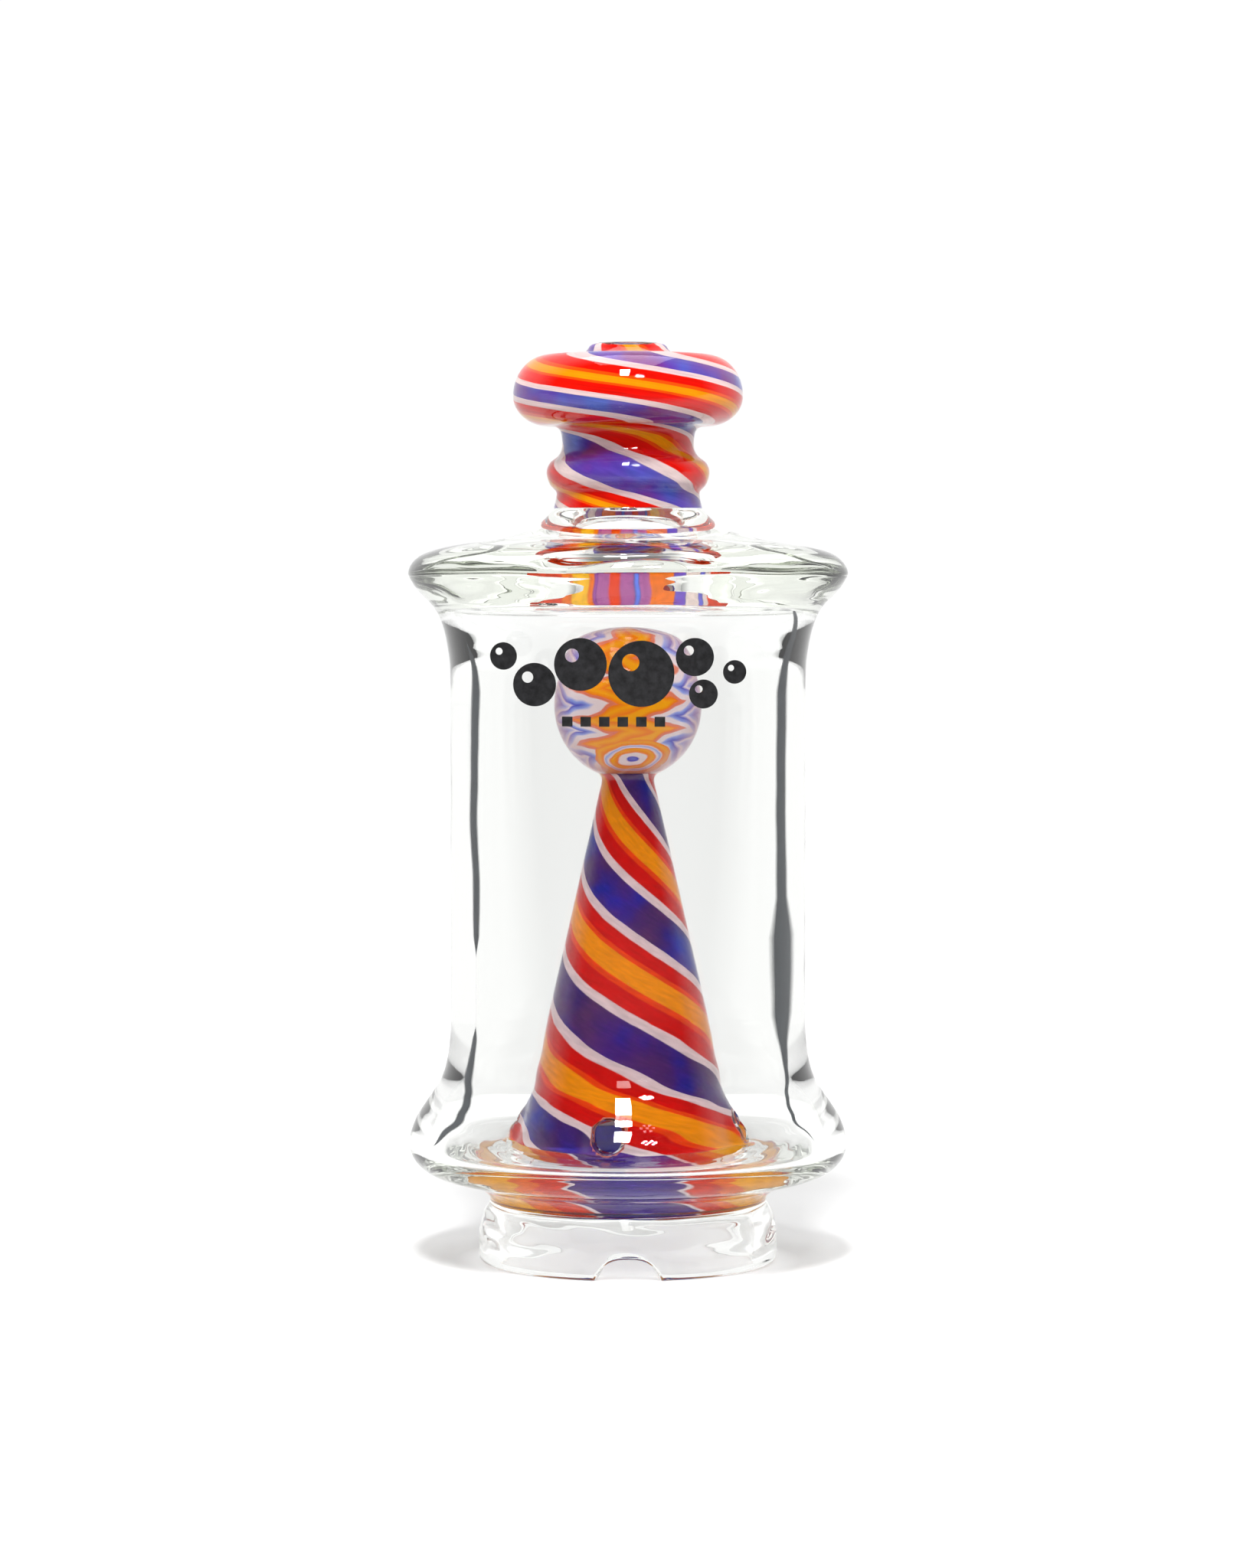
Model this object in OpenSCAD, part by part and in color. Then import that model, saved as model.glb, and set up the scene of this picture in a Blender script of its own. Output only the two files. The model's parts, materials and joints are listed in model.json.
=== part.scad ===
// Glass bubbler top: a clear flanged can with a barber-pole percolator cone and ball inside,
// and a barber-pole neck and mouthpiece above. Millimetres, +Z up, origin on the rest plane,
// front is -Y.

/* [Foot] */
// Outside diameter of the foot
foot_d = 47; // [46:0.1:48]
// Inside diameter of the foot
foot_bore_d = 40; // [39:0.1:41]
// Width of the air notch in the foot's rim
notch_w = 8.7; // [6:0.1:12]
// Height of the air notch
notch_h = 3.3; // [2:0.1:4]

/* [Can] */
// Outside diameter of the can
can_d = 55.8; // [55:0.1:57]
// Thickness of the can's wall
wall = 4; // [3:0.1:4.4]
// Outside diameter of both flanges
flange_d = 69; // [68:0.1:70]
// Height of the can's flat ceiling, where the upper flange is welded on
seam_z = 104; // [103.8:0.1:104.2]

/* [Percolator] */
// Outside diameter of the cone where it leaves the floor
cone_base_d = 35; // [34:0.1:35.4]
// Outside diameter of the cone at its top
cone_top_d = 8.4; // [8:0.1:9]
// Rise of one full turn of the stripes round the cone
cone_pitch = 42; // [30:0.5:60]
// Number of percolator holes
holes = 4; // [3:1:6]
// Diameter of a percolator hole
hole_d = 4.5; // [3:0.1:4.6]
// Outside diameter of the ball
ball_d = 23.2; // [22:0.1:24]

/* [Mouthpiece] */
// Outside diameter of the neck
neck_d = 20.8; // [20:0.1:21.4]
// Diameter of the passage at the top of the neck
neck_bore_d = 15.2; // [13:0.1:15.4]
// Diameter of the passage at the foot of the neck
root_bore_d = 18; // [16:0.1:18.4]
// Outside diameter of the bulb
bulb_d = 36.1; // [34:0.1:38]
// Diameter of the mouth hole
mouth_d = 6.4; // [5:0.1:7]

/* [Printed mark] */
// Diameter of the largest printed bubble
mark_d = 10; // [6:0.1:11]

/* [Hidden] */
$fn = 96;
foot_r = foot_d / 2;
foot_bore_r = foot_bore_d / 2;
can_r = can_d / 2;
bore_r = can_r - wall;
flange_r = flange_d / 2;
floor_z = 17.2;
foot_top_z = 6;
foot_top_r = 23.3;
waist_z = 12.2;
waist_top_r = 24.6;
skirt_z = 10;
skirt_r = 18;
split_r = 27;
split_z = 12.9;
low_seam_z = 27.6;
low_seam_r = 30.2;
low_seam_in_r = 27.2;
seam_r = 31.4;
seam_in_r = 27.6;
crown_split_r = 23;
crown_split_z = 113.25;
root_r = 9.8;
root_t = 0.9;
root_low_z = 109.6;
root_high_z = 112.2;
neck_z = 118.5;
neck_top_z = 129.6;
neck_foot_r = 11.7;
neck_r = neck_d / 2;
neck_bore_r = neck_bore_d / 2;
root_bore_r = root_bore_d / 2;
bulb_r = bulb_d / 2;
mouth_r = mouth_d / 2;
mouth_z = 144.3;
lip_r = 7.2;
casing = 0.8;
cane_t = 1.2;
liner_t = 1;
liner_gap = 0.18;
cone_r0 = cone_base_d / 2;
cone_r1 = cone_top_d / 2;
cone_top_z = 75.4;
cone_rows = 40;
cone_blue_z = 67;
cone_blue_turn = -89;
hole_z = 20.6;
hole_turn = -10;
hole_lip = 0.6;
lip_fit = 0.03;
ball_z = 87.5;
ball_r = ball_d / 2;
ball_cut_z = 77.2;
ball_wall = 2;
ball_hole_r = 2.2;
lining_t = 0.7;
mark_t = 0.12;
mark_z = 93;
dash_z = 85;

// Stripe colours of one repeat, left to right, as [colour, degrees, facets]; two repeats go round
CONE_STRIPES = [
    ["blue", 55.8, 4], ["white", 14.4, 1], ["red", 25.2, 2], ["orange", 9, 1],
    ["yellow", 32.4, 3], ["orange", 7.2, 1], ["red", 21.6, 2], ["white", 14.4, 1]
];
MOUTH_STRIPES = [
    ["blue", 42, 3], ["white", 17, 1], ["red", 33, 3], ["orange", 8, 1],
    ["yellow", 23, 2], ["orange", 11, 1], ["red", 28, 2], ["white", 18, 1]
];
REPEATS = 2;

// ---- curves in the (radius, height) half plane

function reversed(p) = [for (i = [len(p) - 1:-1:0]) p[i]];

function arc(c, rx, ry, from, to, n = 8) =
    [for (i = [0:n]) let (a = from + (to - from) * i / n) c + [rx * cos(a), ry * sin(a)]];

// A rounded line through every given point, with n pieces between neighbours
function blend(a, b, c, d, u) =
    (2 * b + (c - a) * u + (2 * a - 5 * b + 4 * c - d) * u * u + (3 * b - a - 3 * c + d) * u * u * u) / 2;
function smooth(p, n = 3) = [
    for (i = [0:len(p) - 2], k = [0:n - 1])
        blend(p[max(i - 1, 0)], p[i], p[i + 1], p[min(i + 2, len(p) - 1)], k / n),
    p[len(p) - 1]
];

// The same line moved inwards by t
function normal(p, i) =
    let (d = p[min(i + 1, len(p) - 1)] - p[max(i - 1, 0)]) [d[1], -d[0]] / norm(d);
function inset(p, t) = [for (i = [0:len(p) - 1]) p[i] - t * normal(p, i)];

function skirt(z) = cone_r0 + (skirt_r - cone_r0) * (floor_z - z) / (floor_z - skirt_z);
function cone(z) = z < floor_z ? skirt(z)
    : cone_r0 + (cone_r1 - cone_r0) * (z - floor_z) / (cone_top_z - floor_z);

foot_out = concat(
    arc([foot_r - 0.9, 0.9], 0.9, 0.9, -90, 0, 6),
    smooth([[foot_r, 3.2], [foot_r, 4.6], [foot_top_r, foot_top_z]])
);
foot_in = [[foot_bore_r + 0.7, 0], [foot_bore_r, 0.7], [foot_bore_r, foot_top_z]];
waist_out = smooth([
    [foot_top_r, foot_top_z], [22.8, 7.7], [22.1, 9], [21.8, 9.8], [22.1, 10.6], [23.3, 11.6],
    [waist_top_r, waist_z]
]);
waist_in = concat(
    smooth([[foot_bore_r, foot_top_z], [19.7, 7.4], [18.8, 8.7], [skirt_r, 9.4]]),
    [[skirt_r, skirt_z], [skirt(waist_z), waist_z]]
);
low_out = smooth([
    [split_r, split_z], [28.6, 13.3], [31.2, 14.15], [33, 15.4], [34.1, 16.9], [flange_r, 18.6],
    [34.3, 20.4], [33.3, 22.9], [31.8, 25.2], [low_seam_r, low_seam_z]
]);
low_in = smooth([
    [split_r, floor_z], [29.8, 17.35], [30.9, 18.1], [31.1, 19.4], [30.6, 21.6], [29.2, 24.4],
    [low_seam_in_r, low_seam_z]
]);
can_out = concat(
    smooth([[low_seam_r, low_seam_z], [29.1, 29.8], [28.4, 32.6], [can_r + 0.1, 36], [can_r, 40]]),
    smooth([
        [can_r, 90], [can_r + 0.1, 94], [28.4, 97], [28.9, 99.4], [29.6, 101.4], [30.5, 103],
        [seam_r, seam_z]
    ])
);
can_in = concat(
    smooth([
        [low_seam_in_r, low_seam_z], [25.6, 30.6], [bore_r + 0.8, 33.6], [bore_r + 0.2, 36.6],
        [bore_r, 40]
    ]),
    smooth([
        [bore_r, 90], [bore_r + 0.3, 94], [bore_r + 1.2, 97], [26.3, 100], [27.2, 102.4],
        [seam_in_r, seam_z]
    ])
);
crown_out = smooth([
    [seam_r, seam_z], [32.2, 104.8], [33.2, 105.9], [33.9, 106.9], [flange_r, 108.2], [34.1, 109.5],
    [33.1, 110.7], [31.6, 111.6], [29.3, 112.3], [25.5, 112.9], [crown_split_r, crown_split_z]
]);
dome_out = smooth([
    [crown_split_r, crown_split_z], [20.9, 113.55], [17.9, 114.35], [15.4, 115.3], [13.3, 116.7],
    [12.1, 117.9], [neck_foot_r, neck_z]
]);
dome_in = concat(
    [[crown_split_r, seam_z]],
    smooth([
        [13.2, seam_z], [12, seam_z + 0.3], [10.5, seam_z + 1], [root_r + 0.1, seam_z + 2.3],
        [root_r, 108], [root_r, root_low_z]
    ]),
    [[root_r + root_t, root_low_z], [root_r + root_t, root_high_z]],
    smooth([[root_r, root_high_z], [9.4, 114], [root_bore_r, 116.5], [root_bore_r, neck_z]])
);

neck_out = smooth([
    [neck_foot_r, neck_z], [11.3, 120.2], [11.3, 121.1], [12.3, 122.3], [12.8, 124.1], [12.3, 125.6],
    [11, 126.7], [neck_r, 127.9], [neck_r, neck_top_z]
], 2);
neck_in = smooth([
    [root_bore_r, neck_z], [8.8, 120.2], [8.3, 123], [7.9, 126], [neck_bore_r, 128.4],
    [neck_bore_r + 0.1, neck_top_z]
]);
bulb_out = concat(
    smooth([[neck_r, neck_top_z], [10.7, 130.7], [11.5, 131.3], [12.6, 131.4]], 2),
    arc([12.6, 136.1], bulb_r - 12.6, 4.7, -78, 0, 7),
    arc([12.6, 136.1], bulb_r - 12.6, 6.3, 11, 90, 8),
    [[10, 142.45], [lip_r, 142.5]]
);
mouth_out = concat(neck_out, [for (i = [1:len(bulb_out) - 1]) bulb_out[i]]);
bulb_from = len(neck_out) - 1;
mouth_mid = inset(mouth_out, casing);
mouth_in = inset(mouth_out, casing + cane_t);

function rows(p, from, to) = [for (i = [from:to]) p[i]];

// ---- the turn of the stripes, in degrees round the axis from -Y, by height

function cone_turn(z) = cone_blue_turn - 360 * (z - cone_blue_z) / cone_pitch;
function mouth_turn(p) =
    lookup(p[1], [[117, 100], [118.9, 69], [121.3, 24], [123.3, -3], [127.2, -47], [129.6, -71],
        [131, -108], [133.5, -180], [141.3, -360], [142.4, -380]])
    - 9 * max(0, p[1] > 142 ? 12.6 - p[0] : 0);

cone_line = concat(
    [for (k = [0:4]) let (z = skirt_z + (floor_z - skirt_z) * k / 5) [skirt(z), z]],
    [for (k = [0:cone_rows]) let (z = floor_z + (cone_top_z - floor_z) * k / cone_rows) [cone(z), z]]
);
cone_mid = [for (p = cone_line) p - [cane_t, 0]];
cone_turns = [for (p = cone_line) cone_turn(p[1])];
mouth_turns = [for (p = mouth_out) mouth_turn(p)];

// ---- building blocks

module lathe(outside, inside) {
    rotate_extrude()
        polygon(concat(outside, reversed(inside)));
}

// One cane: the strip between two lines, from turn a to turn b, following the twist
module cane(outside, inside, turns, a, b, n) {
    m = len(outside) - 1;
    w = n + 1;
    k = (m + 1) * w;
    function at(p, i, j) = let (t = turns[i] + a + (b - a) * j / n - 90)
        [p[i][0] * cos(t), p[i][0] * sin(t), p[i][1]];
    polyhedron(
        points = concat(
            [for (i = [0:m], j = [0:n]) at(outside, i, j)],
            [for (i = [0:m], j = [0:n]) at(inside, i, j)]
        ),
        faces = concat(
            [for (i = [0:m - 1], j = [0:n - 1]) let (v = i * w + j) [v, v + w, v + w + 1]],
            [for (i = [0:m - 1], j = [0:n - 1]) let (v = i * w + j) [v, v + w + 1, v + 1]],
            [for (i = [0:m - 1], j = [0:n - 1]) let (v = k + i * w + j) [v, v + w + 1, v + w]],
            [for (i = [0:m - 1], j = [0:n - 1]) let (v = k + i * w + j) [v, v + 1, v + w + 1]],
            [for (i = [0:m - 1]) let (v = i * w) [k + v, k + v + w, v]],
            [for (i = [0:m - 1]) let (v = i * w) [k + v + w, v + w, v]],
            [for (i = [0:m - 1]) let (v = i * w + n) [k + v, v, k + v + w]],
            [for (i = [0:m - 1]) let (v = i * w + n) [k + v + w, v, v + w]],
            [for (j = [0:n - 1]) [j, j + 1, k + j + 1]],
            [for (j = [0:n - 1]) [j, k + j + 1, k + j]],
            [for (j = [0:n - 1]) let (v = m * w + j) [v, k + v, k + v + 1]],
            [for (j = [0:n - 1]) let (v = m * w + j) [v, k + v + 1, v + 1]]
        )
    );
}

// Where stripe i starts, in degrees from the middle of the first stripe
function start(stripes, i) = i == 0 ? -stripes[0][1] / 2 : start(stripes, i - 1) + stripes[i - 1][1];

module canes(name, stripes, outside, inside, turns) {
    for (r = [0:REPEATS - 1], i = [0:len(stripes) - 1])
        if (stripes[i][0] == name)
            let (a = r * 360 / REPEATS + start(stripes, i))
                cane(outside, inside, turns, a, a + stripes[i][1], stripes[i][2]);
}

// A radial rod at every percolator hole
module hole_rods(r, from, to) {
    for (i = [0:holes - 1])
        rotate([0, 0, hole_turn + i * 360 / holes - 90])
            translate([from, 0, hole_z])
                rotate([0, 90, 0])
                    cylinder(r = r, h = to - from, $fn = 32);
}

module cone_canes(name) {
    difference() {
        canes(name, CONE_STRIPES, cone_line, cone_mid, cone_turns);
        hole_rods(hole_d / 2 + hole_lip + lip_fit, 10, 22);
    }
}

module printed(x, z, r) {
    translate([x, 0, z])
        rotate([90, 0, 0])
            cylinder(r = r, h = 40, $fn = 40);
}

// ---- sub-parts

module foot_ring() {
    color([0.85, 0.92, 0.92, 0.4])
        difference() {
            lathe(foot_out, foot_in);
            translate([-notch_w / 2, -30, -1])
                cube([notch_w, 20, notch_h - 1.2]);
            translate([-notch_w / 2 + 2.2, -30, -1])
                cube([notch_w - 4.4, 20, notch_h + 1]);
            for (s = [-1, 1])
                translate([s * (notch_w / 2 - 2.2), -10, notch_h - 2.2])
                    rotate([90, 0, 0])
                        cylinder(r = 2.2, h = 20, $fn = 48);
        }
}

module waist_collar() {
    color([0.85, 0.92, 0.92, 0.4])
        lathe(waist_out, waist_in);
}

module floor_plate() {
    color([0.85, 0.92, 0.92, 0.4])
        lathe(
            [[skirt(waist_z), waist_z], [waist_top_r, waist_z], [split_r, split_z]],
            [[cone_r0, floor_z], [split_r, floor_z]]
        );
}

module lower_flange() {
    color([0.85, 0.92, 0.92, 0.4])
        lathe(low_out, low_in);
}

module can_wall() {
    color([0.88, 0.94, 0.94, 0.3])
        lathe(can_out, can_in);
}

module upper_flange() {
    color([0.85, 0.92, 0.92, 0.4])
        lathe(crown_out, [[crown_split_r, seam_z]]);
}

module shoulder() {
    color([0.85, 0.92, 0.92, 0.4])
        lathe(dome_out, dome_in);
}

// The end of the striped tube, sealed in where the neck meets the flange
module neck_root_ring() {
    color([0.95, 0.5, 0.1])
        lathe(
            [[root_r + root_t, root_low_z], [root_r + root_t, root_high_z]],
            [[root_r, root_low_z], [root_r, root_high_z]]
        );
}

module neck_casing() {
    color([0.9, 0.95, 0.95, 0.35])
        lathe(neck_out, rows(mouth_mid, 0, bulb_from));
}

module neck_liner() {
    color([0.9, 0.95, 0.95, 0.35])
        lathe(inset(neck_out, casing + cane_t + liner_gap), neck_in);
}

module bulb_casing() {
    color([0.9, 0.95, 0.95, 0.35])
        lathe(rows(mouth_out, bulb_from, len(mouth_out) - 1),
            rows(mouth_mid, bulb_from, len(mouth_out) - 1));
}

module mouth_lip() {
    color([0.9, 0.2, 0.08])
        lathe(
            concat(
                [[lip_r - 0.2, 140.3], [lip_r, 140.5]],
                smooth([[lip_r, 142.6], [6.6, 143.3], [5.9, 144], [5.2, mouth_z]])
            ),
            [[mouth_r + 1, 140.3], [mouth_r, 141], [mouth_r, 143.9], [mouth_r + 0.4, mouth_z]]
        );
}

module mouthpiece_blue_canes() {
    color([0.25, 0.2, 0.75])
        canes("blue", MOUTH_STRIPES, mouth_mid, mouth_in, mouth_turns);
}

module mouthpiece_white_canes() {
    color([0.94, 0.9, 0.88])
        canes("white", MOUTH_STRIPES, mouth_mid, mouth_in, mouth_turns);
}

module mouthpiece_red_canes() {
    color([0.82, 0.05, 0.03])
        canes("red", MOUTH_STRIPES, mouth_mid, mouth_in, mouth_turns);
}

module mouthpiece_orange_canes() {
    color([0.92, 0.33, 0.05])
        canes("orange", MOUTH_STRIPES, mouth_mid, mouth_in, mouth_turns);
}

module mouthpiece_yellow_canes() {
    color([0.95, 0.62, 0.06])
        canes("yellow", MOUTH_STRIPES, mouth_mid, mouth_in, mouth_turns);
}

module cone_liner() {
    inner_t = cane_t + liner_gap;
    color([0.9, 0.95, 0.95, 0.35])
        difference() {
            lathe(
                [
                    [skirt_r, 9.4], [skirt_r, skirt_z], [skirt_r - inner_t, skirt_z],
                    [cone_r0 - inner_t, floor_z], [cone_r1 - inner_t, cone_top_z]
                ],
                [
                    [skirt_r - inner_t - liner_t, 9.4], [cone_r0 - inner_t - liner_t, floor_z],
                    [cone_r1 - inner_t - liner_t, cone_top_z]
                ]
            );
            hole_rods(hole_d / 2 + hole_lip + lip_fit, 10, 22);
        }
}

module cone_blue_canes() {
    color([0.22, 0.16, 0.7])
        cone_canes("blue");
}

module cone_white_canes() {
    color([0.94, 0.9, 0.88])
        cone_canes("white");
}

module cone_red_canes() {
    color([0.8, 0.06, 0.03])
        cone_canes("red");
}

module cone_orange_canes() {
    color([0.9, 0.32, 0.05])
        cone_canes("orange");
}

module cone_yellow_canes() {
    color([0.93, 0.6, 0.06])
        cone_canes("yellow");
}

module hole_lips() {
    color([0.85, 0.9, 0.9])
        difference() {
            hole_rods(hole_d / 2 + hole_lip, 14, 18.2);
            hole_rods(hole_d / 2, 13, 19);
        }
}

module ball_collar() {
    color([0.9, 0.95, 0.95, 0.5])
        lathe(
            smooth([[cone_r1 + 0.05, cone_top_z], [4.5, 76.1], [5.34, ball_cut_z]]),
            [[1.85, cone_top_z], [ball_hole_r, ball_cut_z]]
        );
}

function ball_line(r, low) =
    let (a = asin((low - ball_z) / r)) arc([0, ball_z], r, r, a, 90, 26);

module ball_shell() {
    inside = ball_r - ball_wall;
    color([0.95, 0.85, 0.82, 0.4])
        rotate_extrude()
            polygon(concat(
                [[ball_hole_r, ball_cut_z]],
                ball_line(ball_r, ball_cut_z),
                reversed(ball_line(inside, ball_z - sqrt(inside * inside - ball_hole_r * ball_hole_r)))
            ));
}

module ball_lining() {
    outside = ball_r - ball_wall;
    inside = outside - lining_t;
    r = ball_hole_r;
    color([0.96, 0.6, 0.2])
        rotate_extrude()
            polygon(concat(
                ball_line(outside, ball_z - sqrt(outside * outside - r * r)),
                reversed(ball_line(inside, ball_z - sqrt(inside * inside - r * r)))
            ));
}

// A bubble with a round glint, high on its left
module bubble(x, z, d) {
    difference() {
        printed(x, z, d / 2);
        printed(x - d * 0.16, z + d * 0.17, d * 0.13);
    }
}

// A drift of bubbles over a row of dashes
module printed_mark() {
    color([0.05, 0.05, 0.05])
        intersection() {
            lathe([for (p = can_out) p + [mark_t, 0]], can_out);
            union() {
                bubble(-19, mark_z + 2.6, mark_d * 0.42);
                bubble(-14.2, mark_z - 1.7, mark_d * 0.66);
                bubble(-7.2, mark_z + 1.4, mark_d * 0.8);
                bubble(2, mark_z, mark_d);
                bubble(10.1, mark_z + 2.5, mark_d * 0.58);
                bubble(11.4, mark_z - 3.1, mark_d * 0.44);
                bubble(16.2, mark_z + 0.2, mark_d * 0.36);
                for (x = [-10:2.8:4])
                    translate([x, -40, dash_z])
                        cube([1.6, 40, 1.5]);
            }
        }
}

foot_ring();
waist_collar();
floor_plate();
lower_flange();
can_wall();
upper_flange();
shoulder();
neck_root_ring();
neck_casing();
neck_liner();
bulb_casing();
mouth_lip();
mouthpiece_blue_canes();
mouthpiece_white_canes();
mouthpiece_red_canes();
mouthpiece_orange_canes();
mouthpiece_yellow_canes();
cone_liner();
cone_blue_canes();
cone_white_canes();
cone_red_canes();
cone_orange_canes();
cone_yellow_canes();
hole_lips();
ball_collar();
ball_shell();
ball_lining();
printed_mark();
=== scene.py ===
"""Flame-worked glass bubbler top: clear flanged can, barber-pole cone, ball and mouthpiece."""
import json
import math

import bmesh
import bpy
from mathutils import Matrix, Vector

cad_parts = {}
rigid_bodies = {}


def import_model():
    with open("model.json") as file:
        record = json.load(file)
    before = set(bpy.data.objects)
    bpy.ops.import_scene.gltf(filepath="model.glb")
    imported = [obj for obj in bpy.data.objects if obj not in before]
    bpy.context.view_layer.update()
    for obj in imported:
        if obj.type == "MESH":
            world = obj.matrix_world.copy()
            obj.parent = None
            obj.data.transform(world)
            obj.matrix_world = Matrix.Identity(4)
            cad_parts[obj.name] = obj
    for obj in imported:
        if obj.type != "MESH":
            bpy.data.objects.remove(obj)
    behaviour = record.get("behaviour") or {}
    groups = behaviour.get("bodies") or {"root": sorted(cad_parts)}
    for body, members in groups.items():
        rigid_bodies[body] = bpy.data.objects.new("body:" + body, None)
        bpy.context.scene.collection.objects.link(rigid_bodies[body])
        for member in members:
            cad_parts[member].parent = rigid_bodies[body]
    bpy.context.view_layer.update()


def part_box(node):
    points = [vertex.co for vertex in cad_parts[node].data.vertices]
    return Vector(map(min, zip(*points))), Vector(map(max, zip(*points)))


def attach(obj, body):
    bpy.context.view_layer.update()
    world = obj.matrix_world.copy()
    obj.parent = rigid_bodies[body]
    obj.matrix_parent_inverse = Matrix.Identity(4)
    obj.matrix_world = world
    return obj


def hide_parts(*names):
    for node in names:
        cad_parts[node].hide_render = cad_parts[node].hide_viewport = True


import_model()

MM = 0.001
SEGMENTS = 192
BODY = "root"

# ---- sizes in millimetres, worked out from the CAD nodes


def size(node, axis, end):
    """One coordinate of a node's box, in millimetres."""
    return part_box(node)[end][axis] / MM


FOOT_R = size("foot_ring", 0, 1)
FLANGE_R = size("lower_flange", 0, 1)
MOUTH_Z = size("mouth_lip", 2, 1)
BULB_R = size("bulb_casing", 0, 1)
CAN_R = 27.9
BORE_R = 23.9
FLOOR_Z = 17.2
WALL_Z = (40, 90)  # the straight part of the can's wall
CEILING_Z = size("upper_flange", 2, 0)
ROOT_R = (10.2, 10.8)
ROOT_Z = (109.4, 111.7)
NECK_Z = size("neck_casing", 2, 0)
NECK_R = 10.4
BULB_CORE_R = 12.6
BULB_Z = 136.1
MOUTH_R = 3.2
CONE_R0 = 17.5
CONE_R1 = 4.2
CONE_TOP = size("cone_liner", 2, 1)
CONE_TIP = 74  # where the collar under the ball starts
CONE_WALL = 2.4
SKIRT_Z = 10.0
SKIRT_R = 18.0
BALL_Z = 87.5
BALL_R = size("ball_shell", 0, 1)
BALL_SKIN = 1.0
CANE_DEPTH = 0.3  # clear skin over the cone's canes
CANE_WALL = 1.2
MOUTH_SKIN = 0.75
MOUTH_CANES = 1.0
HOLES = 4
HOLE_TURN = -10.0
HOLE_Z = 20.6
HOLE_R = 2.25
HOLE_REACH = (10, 23)
NOTCH_W = 8.7
NOTCH_H = 3.3
NOTCH_REACH = 6.0

# ---- lines in the (radius, height) half plane


def smooth(points, n=6):
    """A rounded line through every given point, with n pieces between neighbours."""
    out = []
    last = len(points) - 1
    for i in range(last):
        a, b = points[max(i - 1, 0)], points[i]
        c, d = points[i + 1], points[min(i + 2, last)]
        for k in range(n):
            u = k / n
            out.append(tuple(
                (2 * q + (r - p) * u + (2 * p - 5 * q + 4 * r - s) * u * u
                 + (3 * q - p - 3 * r + s) * u ** 3) / 2
                for p, q, r, s in zip(a, b, c, d)
            ))
    out.append(tuple(points[-1]))
    return out


def arc(cx, cz, rx, rz, start, end, n=12):
    """Part of an ellipse, angles in degrees."""
    steps = [math.radians(start + (end - start) * i / n) for i in range(n + 1)]
    return [(cx + rx * math.cos(a), cz + rz * math.sin(a)) for a in steps]


def inset(points, depth):
    """The same line, moved to its left-hand side by depth."""
    out = []
    for i, (r, z) in enumerate(points):
        a, b = points[max(i - 1, 0)], points[min(i + 1, len(points) - 1)]
        dr, dz = b[0] - a[0], b[1] - a[1]
        length = math.hypot(dr, dz) or 1.0
        out.append((r - depth * dz / length, z + depth * dr / length))
    return out


def split_line(a, b, n):
    return [(a[0] + (b[0] - a[0]) * i / n, a[1] + (b[1] - a[1]) * i / n) for i in range(n + 1)]


def cone_r(z):
    """Outside radius of the cone, and of its skirt under the floor."""
    if z < FLOOR_Z:
        return CONE_R0 + (SKIRT_R - CONE_R0) * (FLOOR_Z - z) / (FLOOR_Z - SKIRT_Z)
    return CONE_R0 + (CONE_R1 - CONE_R0) * (z - FLOOR_Z) / (CONE_TOP - FLOOR_Z)


def join(*parts):
    """Parts of one line end to end, with doubled points dropped."""
    out = []
    for part in parts:
        for p in part:
            if not out or math.dist(p, out[-1]) > 1e-4:
                out.append(p)
    return out


def neck_outside():
    """From the weld up over the ring, the neck and the flattened bulb to the mouth's lip."""
    return join(
        smooth([
            (11.7, NECK_Z), (11.3, 120.2), (11.3, 121.1), (12.3, 122.3), (12.8, 124.1), (12.3, 125.6),
            (11, 126.7), (NECK_R, 127.9), (NECK_R, 129.6), (10.7, 130.7), (11.5, 131.3), (12.6, 131.4),
        ]),
        arc(BULB_CORE_R, BULB_Z, BULB_R - BULB_CORE_R, 4.7, -80, 0, 14),
        arc(BULB_CORE_R, BULB_Z, BULB_R - BULB_CORE_R, 6.35, 6, 90, 14),
        smooth([(10.4, 142.45), (8.6, 142.35), (7.4, 142.5), (6.5, 143.2), (5.9, 144), (5.1, MOUTH_Z)], 4),
    )


def clear_outside():
    """From the foot's rim up to the weld under the neck."""
    return join(
        arc(FOOT_R - 1.1, 1.1, 1.1, 1.1, -90, 0, 8),
        smooth([(FOOT_R, 1.1), (FOOT_R, 3.2), (FOOT_R, 4.6), (23.3, 6), (22.8, 7.7), (22.1, 9), (21.8, 9.8),
                (22.1, 10.6), (23.3, 11.6), (24.6, 12.2), (27, 12.9), (28.6, 13.3), (31.2, 14.15), (33, 15.4),
                (34.1, 16.9), (FLANGE_R, 18.6), (34.3, 20.4), (33.3, 22.9), (31.8, 25.2), (30.2, 27.6),
                (29.1, 29.8), (28.4, 32.6), (CAN_R + 0.1, 36), (CAN_R, WALL_Z[0])]),
        split_line((CAN_R, WALL_Z[0]), (CAN_R, WALL_Z[1]), 24),
        smooth([(CAN_R, WALL_Z[1]), (CAN_R + 0.1, 94), (28.4, 97), (28.9, 99.4), (29.6, 101.4), (30.5, 103),
                (31.4, CEILING_Z), (32.2, 104.8), (33.2, 105.9), (33.9, 106.9), (FLANGE_R, 108.2),
                (34.1, 109.5), (33.1, 110.7), (31.6, 111.6), (29.3, 112.3), (25.5, 112.9), (23, 113.25),
                (20.9, 113.55), (17.9, 114.35), (15.4, 115.3), (13.3, 116.7), (12.1, 117.9), (11.7, NECK_Z)]),
    )


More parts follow.
